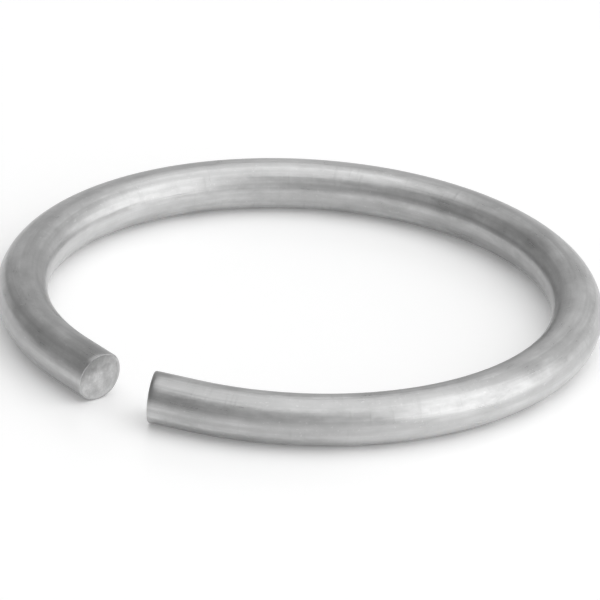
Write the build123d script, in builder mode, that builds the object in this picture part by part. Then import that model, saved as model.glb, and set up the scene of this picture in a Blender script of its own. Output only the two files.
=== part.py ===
from build123d import *
from math import asin, atan2, cos, degrees, radians, sin, sqrt
import os

os.makedirs("parts", exist_ok=True)

# A round wire snap ring for a grooved shaft, lying flat, gap towards -Y.
# The origin is the ring's centre at the middle of the wire's thickness.

# Wire and ring sizes in millimetres
wire_diameter = 2.0
inner_diameter = 19.6
end_gap = 2.4
straight_tail = 1.7
edge_break = 0.06

# How far each end was cropped off square, in degrees
right_slant = 12.0
left_lean = 8.0

# Sizes that follow from those above
wire_radius = wire_diameter / 2
coil_radius = inner_diameter / 2 + wire_radius
half_gap = end_gap / 2

# Degrees from -Y to where the bend starts, past the straight last stretch of wire
tail_reach = sqrt(coil_radius**2 + straight_tail**2)
tail_turn = degrees(asin(half_gap / tail_reach) + atan2(straight_tail, coil_radius))
turn_cos = cos(radians(tail_turn))
turn_sin = sin(radians(tail_turn))

# Where each straight tail starts and which way it heads, towards the gap
right_root = Vector(turn_sin, -turn_cos) * coil_radius
right_heading = Vector(-turn_cos, -turn_sin)
left_root = Vector(-turn_sin, -turn_cos) * coil_radius
left_heading = Vector(turn_cos, -turn_sin)

# The right cut is turned to face outwards, the left one leans to face down
right_cut_heading = right_heading.rotate(Axis.Z, right_slant)
left_outward = Axis((0, 0, 0), left_heading.cross(Vector(0, 0, 1)))
left_cut_heading = left_heading.rotate(left_outward, -left_lean)

# The knife takes off a short length of spare wire past each end
spare_wire = wire_radius / 2
knife_width = wire_diameter * 1.5
knife_depth = spare_wire * 2

with BuildPart() as snap_ring:
    # Wire bent to the circle, from the root of one straight tail to the other
    with BuildSketch(Plane(origin=right_root, z_dir=-right_heading)):
        Circle(wire_radius)
    revolve(axis=Axis.Z, revolution_arc=360 - 2 * tail_turn)

    for root, heading, cut_heading in (
        (right_root, right_heading, right_cut_heading),
        (left_root, left_heading, left_cut_heading),
    ):
        # A slanted cut crosses the round wire in an ellipse, longer along the slant
        squareness = heading.dot(cut_heading)
        slanted_radius = wire_radius / squareness
        longer = heading - cut_heading * squareness
        end = root + heading * straight_tail
        rim_centre = end - heading * edge_break / squareness
        rim = Plane(origin=rim_centre, x_dir=longer, z_dir=cut_heading)
        face = Plane(origin=end, x_dir=longer, z_dir=cut_heading)

        # Straight tail, with spare length for the knife
        with BuildSketch(Plane(origin=root, z_dir=heading)):
            Circle(wire_radius)
        extrude(amount=straight_tail + spare_wire)

        # Spare wire cropped off
        with Locations(rim):
            Box(
                knife_width,
                knife_width,
                knife_depth,
                align=(Align.CENTER, Align.CENTER, Align.MIN),
                mode=Mode.SUBTRACT,
            )

        # Bevelled rim of the cut face
        with BuildSketch(rim):
            Ellipse(slanted_radius, wire_radius)
        with BuildSketch(face):
            Ellipse(slanted_radius - edge_break, wire_radius - edge_break)
        loft()

snap_ring.part.label = "snap_ring"
export_step(snap_ring.part, "parts/snap_ring.step")
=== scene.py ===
import math

import bpy
import numpy as np
from mathutils import Matrix, Vector, noise


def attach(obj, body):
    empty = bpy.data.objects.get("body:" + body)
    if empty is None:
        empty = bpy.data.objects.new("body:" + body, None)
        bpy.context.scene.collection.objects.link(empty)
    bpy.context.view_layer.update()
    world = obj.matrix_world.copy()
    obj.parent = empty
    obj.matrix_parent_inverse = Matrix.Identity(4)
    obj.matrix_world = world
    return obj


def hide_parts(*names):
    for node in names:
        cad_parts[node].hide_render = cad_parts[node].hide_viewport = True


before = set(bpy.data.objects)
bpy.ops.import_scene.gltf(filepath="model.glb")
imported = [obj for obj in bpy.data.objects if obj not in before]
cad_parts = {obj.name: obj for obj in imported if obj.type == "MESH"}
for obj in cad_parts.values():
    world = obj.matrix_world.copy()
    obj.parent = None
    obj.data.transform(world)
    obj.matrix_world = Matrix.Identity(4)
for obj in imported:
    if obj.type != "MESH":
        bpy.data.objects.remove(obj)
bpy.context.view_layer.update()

MM = 0.001
MICRON = 0.000001
scene = bpy.context.scene

# A round wire snap ring, lying flat, gap towards -Y. Its sizes are in millimetres, as the solid has
# them: the wire's radius, the coil's radius at the wire's centre, half the gap, the straight last
# stretch at each end, and the slants of the right and left cuts.
WIRE_R = 1.0
COIL_R = 10.8
HALF_GAP = 1.2
TAIL = 1.7
RIGHT_TAN = math.tan(math.radians(12.0))
LEFT_TAN = math.tan(math.radians(8.0))

# Angle from -Y to the root of each straight tail, the wire's length, and the tails' roots and headings
TURN = math.asin(HALF_GAP / math.hypot(COIL_R, TAIL)) + math.atan2(TAIL, COIL_R)
ARC_LEN = (2 * math.pi - 2 * TURN) * COIL_R
LENGTH = ARC_LEN + 2 * TAIL
RIGHT_DIR = Vector((math.cos(TURN), math.sin(TURN), 0))
RIGHT_ROOT = Vector((math.sin(TURN), -math.cos(TURN), 0)) * COIL_R
LEFT_DIR = Vector((math.cos(TURN), -math.sin(TURN), 0))
LEFT_ROOT = Vector((-math.sin(TURN), -math.cos(TURN), 0)) * COIL_R


def station(s):
    """Centre, heading and outward side of the wire, s mm from the right cut face."""
    if s < TAIL:
        outward = Vector((RIGHT_DIR.y, -RIGHT_DIR.x, 0))
        return RIGHT_ROOT - RIGHT_DIR * (TAIL - s), RIGHT_DIR, outward
    if s > TAIL + ARC_LEN:
        outward = Vector((LEFT_DIR.y, -LEFT_DIR.x, 0))
        return LEFT_ROOT + LEFT_DIR * (s - TAIL - ARC_LEN), LEFT_DIR, outward
    a = -math.pi / 2 + TURN + (s - TAIL) / COIL_R
    out = Vector((math.cos(a), math.sin(a), 0))
    return out * COIL_R, Vector((-out.y, out.x, 0)), out


def shear(s, x, y):
    """How far the slant of the cuts moves a point along the wire, fading out over each tail."""
    near_right = max(0.0, 1.0 - s / TAIL)
    near_left = max(0.0, 1.0 - (LENGTH - s) / TAIL)
    return RIGHT_TAN * x * near_right + LEFT_TAN * y * near_left


def lump(x, y, z, seed):
    """Smooth unevenness, about -1 to 1, in a place of its own for each seed."""
    return noise.noise(Vector((x + 17.3 * seed, y - 9.1 * seed, z + 5.7 * seed)))


# Points round the wire, loops along it, loops in a cut face, and loops over a rim
AROUND = 96
ALONG = 620
CAP_LOOPS = 20
RIM_SWEEPS = (1.0, 0.84, 0.68, 0.52, 0.36, 0.18)

# The plain skin starts this far from a cut face, past the widest rim
RIM_REACH = 0.30

# Drawn wire isn't quite true: slight waves along it, die lines, and a faint flat on the inner side
SKIN_INSET = 0.003
WAVES = 0.0022
DIE_LINES = 0.0012
INNER_FLAT = 0.003

# Roll-over between skin and cut face: its least radius, and what the outer side, the knife and nicks add
RIM_LEAST = 0.024
RIM_OUTER = 0.020
RIM_KNIFE = 0.18
RIM_NICKS = 0.006

# Set-back of the rim, and the height of the lip on it
RIM_SET_BACK = 0.040
RIM_LIP = 0.012

# A cut face: its set-back, the tilt of its torn zone, where and how raggedly that zone starts, and
# its broad, fine and gritty unevenness
FACE_SET_BACK = 0.042
TORN_TILT = 0.020
TORN_START = 0.25
TORN_EDGE = 0.16
FACE_BROAD = 0.050
FACE_FINE = 0.040
FACE_GRIT = 0.008

# Loops over which a cut face takes over from its rim
CAP_BLEND = 5.0

# The wire attribute of a cut face lies this far past the end of the wire, clear of the skin's
CAP_SHIFT = 3.0

# Where the knife entered the wire, as an angle from its outer side, and the seed of each cut
ENTRY = {"right": math.radians(70), "left": math.radians(170)}
SEED = {"right": 11, "left": 23}


def skin_radius(s, th):
    """Radius of the wire at s mm along it, th round from its outer side."""
    wave = WAVES * lump(math.cos(th) * 0.7, math.sin(th) * 0.7, s * 0.16, 1)
    line = DIE_LINES * lump(math.cos(th) * 5.0, math.sin(th) * 5.0, s * 0.05, 2)
    inner = INNER_FLAT * max(0.0, math.cos(th + math.pi)) ** 6
    return WIRE_R - SKIN_INSET + wave + line - inner


def knife_side(th, entry):
    """1 where the knife entered the wire, 0 where it left."""
    return 0.5 + 0.5 * math.cos(th - entry)


def rim_round(th, entry):
    """Radius of the roll-over between skin and cut face."""
    nick = RIM_NICKS * lump(math.cos(th) * 3, math.sin(th) * 3, 0.0, 41)
    outer = RIM_OUTER * max(0.0, math.cos(th)) ** 2
    return RIM_LEAST + outer + RIM_KNIFE * knife_side(th, entry) ** 5 + nick


def face_height(x, y, entry, seed):
    """How far a cut face stands out from its plane, at x outward and y up."""
    across = x * math.cos(entry) + y * math.sin(entry)
    line = TORN_EDGE * lump(x * 2.2, y * 2.2, 4.0, seed)
    # sheared zone on the knife's side, then a rougher torn zone, set back and tilted
    torn = 1.0 / (1.0 + math.exp((across - TORN_START + line) * 16.0))
    broad = FACE_BROAD * lump(x * 1.3, y * 1.3, 0.0, seed)
    fine = FACE_FINE * lump(x * 3.4, y * 3.4, 1.0, seed + 3)
    grit = FACE_GRIT * lump(x * 12.0, y * 12.0, 2.0, seed + 5)
    tilt = TORN_TILT * torn * (1.0 + across)
    return -FACE_SET_BACK - tilt + broad + fine * (0.15 + torn) + grit * (0.3 + torn)


def rim_height(th, entry, seed):
    """How far the rim stands out, with the small lip that the knife leaves on its far side."""
    burr = (1.0 - knife_side(th, entry)) ** 3
    uneven = 0.8 + 0.6 * lump(math.cos(th) * 5, math.sin(th) * 5, 1.0, seed)
    return -RIM_SET_BACK + RIM_LIP * burr * uneven


# The skin and both cut faces make one closed mesh. The wire attribute tells the materials where each
# point is on the wire: its outward side, its height and its distance along the wire. That is (cos, sin,
# mm) on the skin and (x, y, mm) on a cut face.
verts, coords, faces, mats = [], [], [], []
SKIN, CUT = 0, 1


def add(p, c):
    verts.append(p * MM)
    coords.append(c)
    return len(verts) - 1


def ring_row(s, side, sweep):
    """One loop of points round the wire. Over a rim, sweep goes from 1 at the cut face to 0."""
    row = []
    for k in range(AROUND):
        th = 2 * math.pi * k / AROUND
        at, shrink = s, 0.0
        if side:
            rr = rim_round(th, ENTRY[side])
            a = sweep * math.pi / 2
            inset = rr * (1 - math.sin(a)) - rim_height(th, ENTRY[side], SEED[side])
            shrink = rr * (1 - math.cos(a))
            at = inset if side == "right" else LENGTH - inset
        c, t, o = station(at)
        r = skin_radius(at, th) - shrink
        x, y = r * math.cos(th), r * math.sin(th)
        p = c + o * x + Vector((0, 0, y)) + t * shear(at, x, y)
        row.append(add(p, (math.cos(th), math.sin(th), at)))
    return row


# Loops from the right rim to the left rim
rows = [ring_row(0.0, "right", w) for w in RIM_SWEEPS]
rows += [ring_row(s, None, 0.0) for s in np.linspace(RIM_REACH, LENGTH - RIM_REACH, ALONG)]
rows += [ring_row(LENGTH, "left", w) for w in reversed(RIM_SWEEPS)]
for a, b in zip(rows[:-1], rows[1:]):
    for k in range(AROUND):
        k2 = (k + 1) % AROUND
        faces.append((a[k], b[k], b[k2], a[k2]))
        mats.append(SKIN)


def cap(row, side):
    """The cut face: loops of points inside the rim, raised and sunk by face_height."""
    sign = -1 if side == "right" else 1
    s = 0.0 if side == "right" else LENGTH
    entry, seed = ENTRY[side], SEED[side]
    c, t, o = station(s)

    def put(x, y, h):
        p = c + o * x + Vector((0, 0, y)) + t * (sign * h + shear(s, x, y))
        return add(p, (x, y, s + CAP_SHIFT * sign))

    prev = row
    for j in range(1, CAP_LOOPS + 1):
        f = 1.0 - j / CAP_LOOPS
        blend = min(1.0, j / CAP_BLEND)
        blend = blend * blend * (3 - 2 * blend)
        new = []
        for k in range(AROUND if f > 0 else 1):
            th = 2 * math.pi * k / AROUND
            edge = skin_radius(s, th) - rim_round(th, entry)
            x, y = edge * f * math.cos(th), edge * f * math.sin(th)
            h = face_height(x, y, entry, seed) * blend + rim_height(th, entry, seed) * (1 - blend)
            new.append(put(x, y, h))
        for k in range(AROUND):
            k2 = (k + 1) % AROUND
            ends = (new[k2], new[k]) if f > 0 else (new[0],)
            loop = (prev[k], prev[k2]) + ends
            faces.append(tuple(reversed(loop)) if sign > 0 else loop)
            mats.append(CUT)
        prev = new


cap(rows[0], "right")
cap(rows[-1], "left")

mesh = bpy.data.meshes.new("ring_wire")
mesh.from_pydata(verts, [], faces)
mesh.polygons.foreach_set("material_index", mats)
mesh.polygons.foreach_set("use_smooth", [True] * len(faces))
attr = mesh.attributes.new("wire", "FLOAT_VECTOR", "POINT")
attr.data.foreach_set("vector", [v for c in coords for v in c])
mesh.update()
ring = bpy.data.objects.new("ring_wire", mesh)
scene.collection.objects.link(ring)


def nodes_of(name):
    """A new material and its empty node tree."""
    m = bpy.data.materials.new(name)
    m.use_nodes = True
    nt = m.node_tree
    nt.nodes.clear()
    return m, nt


def node(nt, kind, **settings):
    n = nt.nodes.new(kind)
    for key, value in settings.items():
        setattr(n, key, value)
    return n


def principled(nt):
    """A Principled shader, joined to the material's output."""
    out = node(nt, "ShaderNodeOutputMaterial")
    shader = node(nt, "ShaderNodeBsdfPrincipled")
    nt.links.new(shader.outputs["BSDF"], out.inputs["Surface"])
    return shader


def wire_coords(nt, scale, location=(0.0, 0.0, 0.0)):
    """The wire attribute, scaled and moved."""
    at = node(nt, "ShaderNodeAttribute", attribute_name="wire")
    mp = node(nt, "ShaderNodeMapping")
    mp.inputs["Location"].default_value = location
    mp.inputs["Scale"].default_value = scale
    nt.links.new(at.outputs["Vector"], mp.inputs["Vector"])
    return mp.outputs["Vector"]


def wire_noise(nt, scale, detail, rough=0.5):
    """Noise in the wire's own coordinates, so many lumps to a unit outward, upward and along."""
    n = node(nt, "ShaderNodeTexNoise")
    n.inputs["Scale"].default_value = 1.0
    n.inputs["Detail"].default_value = detail
    n.inputs["Roughness"].default_value = rough
    nt.links.new(wire_coords(nt, scale), n.inputs["Vector"])
    return n.outputs["Fac"]


def remap(nt, fac, a, b, lo=0.0, hi=1.0):
    """lo where fac is a or beyond, hi where it is b or beyond, even between them."""
    n = node(nt, "ShaderNodeMapRange")
    n.inputs["From Min"].default_value = a
    n.inputs["From Max"].default_value = b
    n.inputs["To Min"].default_value = lo
    n.inputs["To Max"].default_value = hi
    nt.links.new(fac, n.inputs["Value"])
    return n.outputs["Result"]


def math_node(nt, op, a, b):
    n = node(nt, "ShaderNodeMath", operation=op)
    for i, v in enumerate((a, b)):
        if isinstance(v, (int, float)):
            n.inputs[i].default_value = v
        else:
            nt.links.new(v, n.inputs[i])
    return n.outputs[0]


def mix_color(nt, fac, c1, c2):
    n = node(nt, "ShaderNodeMix", data_type="RGBA")
    nt.links.new(fac, n.inputs["Factor"])
    for key, v in (("A", c1), ("B", c2)):
        sock = [s for s in n.inputs if s.name == key and s.type == "RGBA"][0]
        if isinstance(v, tuple):
            sock.default_value = v
        else:
            nt.links.new(v, sock)
    return [s for s in n.outputs if s.type == "RGBA"][0]


def lay_on(nt, tone, shade, fac, strength):
    """The tone with a shade laid over it where fac is 1, at the given strength."""
    return mix_color(nt, math_node(nt, "MULTIPLY", fac, strength), tone, shade)


def bump(nt, height, strength, distance, normal=None):
    n = node(nt, "ShaderNodeBump")
    n.inputs["Strength"].default_value = strength
    n.inputs["Distance"].default_value = distance
    nt.links.new(height, n.inputs["Height"])
    if normal is not None:
        nt.links.new(normal, n.inputs["Normal"])
    return n.outputs["Normal"]


# Tones of the drawn steel: its clouds, die lines, flecks and roller marks
CLOUD_DARK = (0.440, 0.441, 0.441, 1.0)
CLOUD_LIGHT = (0.660, 0.661, 0.661, 1.0)
DIE_SHADE = (0.390, 0.390, 0.390, 1.0)
FLECK_SHADE = (0.625, 0.625, 0.625, 1.0)
ROLLER_SHADE = (0.345, 0.345, 0.345, 1.0)

# Tones of a cut face: its mottling, grit, painted shade on its upper outer side, and inner band
CUT_DARK = (0.50, 0.50, 0.50, 1.0)
CUT_LIGHT = (0.74, 0.74, 0.74, 1.0)
GRIT_SHADE = (0.375, 0.375, 0.375, 1.0)
UPPER_PAINTED_SHADE = (0.255, 0.255, 0.255, 1.0)
INNER_SHADE = (0.330, 0.330, 0.330, 1.0)

# Painted shade and painted light on the wire: darker patches stand in for shade and for dimmed
# highlights, brighter ones for reflections of the lit floor. Each has its centre and its reach, as
# outward side, height and mm along the wire from the right end, then how strongly its tone is laid on.
PAINTED_DARK = (0.235, 0.235, 0.235, 1.0)
PAINTED_BRIGHT = (0.86, 0.86, 0.86, 1.0)
PAINTED_PATCHES = (
    # top and rim of the left end, and top of the left arm
    ((-0.05, 0.95, LENGTH - 0.8), (0.75, 0.75, 3.2), 0.52, PAINTED_DARK),
    ((0.45, 0.85, LENGTH), (0.80, 0.60, 0.18), 0.60, PAINTED_DARK),
    ((-0.50, 0.88, LENGTH - 8.0), (0.60, 0.60, 6.5), 0.48, PAINTED_DARK),
    # top and rim of the right end
    ((-0.10, 1.00, 0.1), (0.45, 0.45, 1.3), 0.45, PAINTED_DARK),
    ((0.60, 0.75, 0.0), (0.90, 0.80, 0.50), 0.60, PAINTED_DARK),
    # front, above the middle and low down
    ((0.81, 0.59, 8.0), (0.32, 0.32, 5.0), 0.28, PAINTED_DARK),
    ((0.82, -0.57, 9.5), (0.35, 0.35, 5.0), 0.22, PAINTED_BRIGHT),
    # front right, low down, above the middle and on top
    ((0.93, -0.37, 14.5), (0.55, 0.70, 9.0), 0.32, PAINTED_BRIGHT),
    ((0.88, 0.47, 16.0), (0.32, 0.32, 6.0), 0.15, PAINTED_DARK),
    ((0.00, 1.00, 19.0), (0.35, 0.35, 6.5), 0.30, PAINTED_BRIGHT),
    # inner side of the right-hand bend, high and low
    ((-0.59, 0.81, 28.5), (0.35, 0.35, 7.0), 0.25, PAINTED_DARK),
    ((-0.95, -0.25, 28.5), (0.60, 0.70, 10.0), 0.45, PAINTED_DARK),
    # far arc, inside and on top, and the inner side at the far left
    ((-0.79, 0.62, 42.0), (0.32, 0.32, 6.0), 0.22, PAINTED_DARK),
    ((0.00, 1.00, 39.5), (0.30, 0.30, 9.0), 0.40, PAINTED_BRIGHT),
    ((-1.00, 0.05, 51.0), (0.55, 0.60, 9.0), 0.35, PAINTED_BRIGHT),
)


# Mask of one painted shade or painted light patch
def painted_patch_mask(nt, centre, reach, ragged):
    """1 at the centre, fading to a ragged edge at the given reach, in the wire's own coordinates."""
    place = [-c / r for c, r in zip(centre, reach)]
    far = node(nt, "ShaderNodeVectorMath", operation="LENGTH")
    nt.links.new(wire_coords(nt, [1.0 / r for r in reach], place), far.inputs[0])
    return remap(nt, math_node(nt, "ADD", far.outputs["Value"], ragged), 0.5, 1.3, 1.0, 0.0)


def drawn_steel():
    m, nt = nodes_of("drawn_spring_steel")
    bs = principled(nt)
    bs.inputs["Metallic"].default_value = 1.0
    # lines left by the drawing die, running along the wire
    coarse = wire_noise(nt, (3.4, 3.4, 0.05), 3.0)
    fine = wire_noise(nt, (17.0, 17.0, 0.45), 4.0, 0.6)
    # cloudy patches a few millimetres long
    cloud = wire_noise(nt, (1.6, 1.6, 0.70), 4.0, 0.6)
    # faint marks across the wire from the coiling rollers
    across = remap(nt, wire_noise(nt, (0.9, 0.9, 6.0), 2.0), 0.58, 0.75)
    # tiny pits and flecks
    fleck = remap(nt, wire_noise(nt, (9.0, 9.0, 7.0), 2.0), 0.64, 0.74)
    # what makes the edges of the patches ragged
    ragged = math_node(nt, "MULTIPLY", wire_noise(nt, (3.0, 3.0, 1.2), 3.0), 0.6)
    tone = mix_color(nt, remap(nt, cloud, 0.30, 0.70), CLOUD_DARK, CLOUD_LIGHT)
    tone = lay_on(nt, tone, DIE_SHADE, remap(nt, coarse, 0.38, 0.62), 0.62)
    tone = lay_on(nt, tone, FLECK_SHADE, fleck, 0.5)
    tone = lay_on(nt, tone, ROLLER_SHADE, across, 0.14)
    # lay on the painted shade and painted light patches
    for centre, reach, strength, shade in PAINTED_PATCHES:
        tone = lay_on(nt, tone, shade, painted_patch_mask(nt, centre, reach, ragged), strength)
    nt.links.new(tone, bs.inputs["Base Color"])
    # satin, a little rougher in the clouds, in the fine lines and on the roller marks
    streaks = math_node(nt, "MULTIPLY", math_node(nt, "SUBTRACT", fine, 0.5), 0.18)
    rough = math_node(nt, "ADD", remap(nt, cloud, 0.3, 0.7, 0.28, 0.37), streaks)
    rough = math_node(nt, "ADD", rough, math_node(nt, "MULTIPLY", across, 0.05))
    nt.links.new(rough, bs.inputs["Roughness"])
    normal = bump(nt, coarse, 0.55, 30 * MICRON)
    normal = bump(nt, fine, 0.45, 10 * MICRON, normal)
    normal = bump(nt, fleck, 0.35, 6 * MICRON, normal)
    normal = bump(nt, across, 0.35, 8 * MICRON, normal)
    nt.links.new(normal, bs.inputs["Normal"])
    return m


def cropped_steel():
    m, nt = nodes_of("cropped_steel_face")
    bs = principled(nt)
    bs.inputs["Metallic"].default_value = 1.0
    # marks dragged up and down the face by the knife, grit, and mottling
    drag = wire_noise(nt, (9.0, 3.0, 1.0), 3.0)
    grit = wire_noise(nt, (22.0, 22.0, 5.0), 4.0, 0.65)
    patch = wire_noise(nt, (2.0, 2.0, 1.0), 2.0)
    tone = mix_color(nt, remap(nt, patch, 0.35, 0.65), CUT_DARK, CUT_LIGHT)
    tone = lay_on(nt, tone, GRIT_SHADE, remap(nt, grit, 0.4, 0.6), 0.3)
    # darker towards the upper outer side, a painted shade for the dark the face reflects there, and in a
    # faint band near the inner side
    split = node(nt, "ShaderNodeSeparateXYZ")
    nt.links.new(wire_coords(nt, (1.0, 1.0, 1.0)), split.inputs[0])
    outward, upward = split.outputs["X"], split.outputs["Y"]
    slant = math_node(nt, "ADD", upward, math_node(nt, "MULTIPLY", outward, 0.7))
    slant = math_node(nt, "ADD", slant, math_node(nt, "MULTIPLY", drag, 0.5))
    tone = mix_color(nt, remap(nt, slant, 0.62, 1.20, 0.0, 0.75), tone, UPPER_PAINTED_SHADE)
    inward = math_node(nt, "ADD", outward, math_node(nt, "MULTIPLY", drag, 0.2))
    tone = mix_color(nt, remap(nt, inward, -0.42, -0.62, 0.0, 0.45), tone, INNER_SHADE)
    nt.links.new(tone, bs.inputs["Base Color"])
    nt.links.new(remap(nt, patch, 0.3, 0.7, 0.36, 0.50), bs.inputs["Roughness"])
    normal = bump(nt, drag, 0.5, 30 * MICRON)
    normal = bump(nt, grit, 0.6, 20 * MICRON, normal)
    nt.links.new(normal, bs.inputs["Normal"])
    return m


mesh.materials.append(drawn_steel())
mesh.materials.append(cropped_steel())

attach(ring, "root")
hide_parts("snap_ring")

# Camera, at the photograph's angle. Of the image's pixels, COIL_PX span the coil's radius, and the
# ring's centre lies AIM_RIGHT_PX left of the image's centre and AIM_DOWN_PX above it.
AZ = math.radians(36.18)
EL = math.radians(25.1)
ROLL = math.radians(3.05)
DIST = 0.32724
IMAGE_PX = 600.0
COIL_PX = 277.55
AIM_RIGHT_PX = 0.14
AIM_DOWN_PX = 2.09
SENSOR = 36.0

px_per_m = COIL_PX / (COIL_R * MM)
cam_data = bpy.data.cameras.new("camera")
cam = bpy.data.objects.new("camera", cam_data)
scene.collection.objects.link(cam)
scene.camera = cam
cam_data.sensor_width = SENSOR
cam_data.lens = px_per_m * DIST / IMAGE_PX * SENSOR
cam_data.clip_start = 0.01
cam_data.clip_end = 10.0
back = Vector((math.sin(AZ) * math.cos(EL), -math.cos(AZ) * math.cos(EL), math.sin(EL)))
level_right = Vector((math.cos(AZ), math.sin(AZ), 0.0))
level_up = back.cross(level_right)
right = level_right * math.cos(ROLL) + level_up * math.sin(ROLL)
up = level_up * math.cos(ROLL) - level_right * math.sin(ROLL)
aim = right * (AIM_RIGHT_PX / px_per_m) - up * (AIM_DOWN_PX / px_per_m)
turn = Matrix((right, up, back)).transposed().to_4x4()
cam.matrix_world = Matrix.Translation(aim + back * DIST) @ turn

# Plain pale floor, in metres
FLOOR_Z = -WIRE_R * MM
FLOOR_HALF = 0.6
floor_mesh = bpy.data.meshes.new("floor")
corners = [(x * FLOOR_HALF, y * FLOOR_HALF, FLOOR_Z) for x, y in ((-1, -1), (1, -1), (1, 1), (-1, 1))]
floor_mesh.from_pydata(corners, [], [(0, 1, 2, 3)])
floor = bpy.data.objects.new("floor", floor_mesh)
scene.collection.objects.link(floor)
floor_paint, floor_nodes = nodes_of("pale_floor")
paint = principled(floor_nodes)
paint.inputs["Base Color"].default_value = (0.95, 0.95, 0.95, 1.0)
# a little light of its own keeps the shadow under the ring as pale as the photograph has it
paint.inputs["Emission Color"].default_value = (1.0, 1.0, 1.0, 1.0)
paint.inputs["Emission Strength"].default_value = 0.12
paint.inputs["Roughness"].default_value = 0.28
paint.inputs["Specular IOR Level"].default_value = 0.8
floor_mesh.materials.append(floor_paint)


def softbox(name, azimuth, elevation, distance, width, height, radiance):
    """A soft light that faces the ring. Azimuth is as the camera sees it, 0 to its right, 90 away."""
    a = math.radians(azimuth) + AZ
    e = math.radians(elevation)
    d = Vector((math.cos(a) * math.cos(e), math.sin(a) * math.cos(e), math.sin(e)))
    data = bpy.data.lights.new(name, "AREA")
    data.shape = "RECTANGLE"
    data.size = width
    data.size_y = height
    data.energy = radiance * math.pi * width * height
    lamp = bpy.data.objects.new(name, data)
    scene.collection.objects.link(lamp)
    lamp.location = d * distance
    lamp.rotation_euler = d.to_track_quat("Z", "Y").to_euler()


softbox("overhead", 40, 85, 0.8, 1.10, 1.10, 0.76)
softbox("side", -18, 22, 0.8, 0.9, 1.0, 0.84)
softbox("low strip", -8, 2, 0.8, 1.5, 0.16, 0.55)

# A soft room round them: palest low on the right, darkest high on the left
ROOM_PALE = (1.0, 1.0, 1.0, 1.0)
ROOM_DARK = (0.335, 0.335, 0.335, 1.0)
ROOM_SPREAD = 0.9
room_az = math.radians(-5.0) + AZ
room_el = math.radians(-14.0)

world = bpy.data.worlds.new("studio")
scene.world = world
world.use_nodes = True
wnt = world.node_tree
bg = wnt.nodes["Background"]
bg.inputs["Strength"].default_value = 1.0
sky = node(wnt, "ShaderNodeTexCoord")
dot = node(wnt, "ShaderNodeVectorMath", operation="DOT_PRODUCT")
dot.inputs[1].default_value = (math.cos(room_az) * math.cos(room_el),
                               math.sin(room_az) * math.cos(room_el), math.sin(room_el))
wnt.links.new(sky.outputs["Generated"], dot.inputs[0])
ramp = node(wnt, "ShaderNodeValToRGB")
dark_end, pale_end = ramp.color_ramp.elements
dark_end.position, dark_end.color = 0.0, ROOM_DARK
pale_end.position, pale_end.color = 1.0, ROOM_PALE
wnt.links.new(remap(wnt, dot.outputs["Value"], -ROOM_SPREAD, ROOM_SPREAD), ramp.inputs["Fac"])
wnt.links.new(ramp.outputs["Color"], bg.inputs["Color"])

scene.view_settings.view_transform = "Standard"
scene.view_settings.look = "None"
scene.view_settings.exposure = 0.0
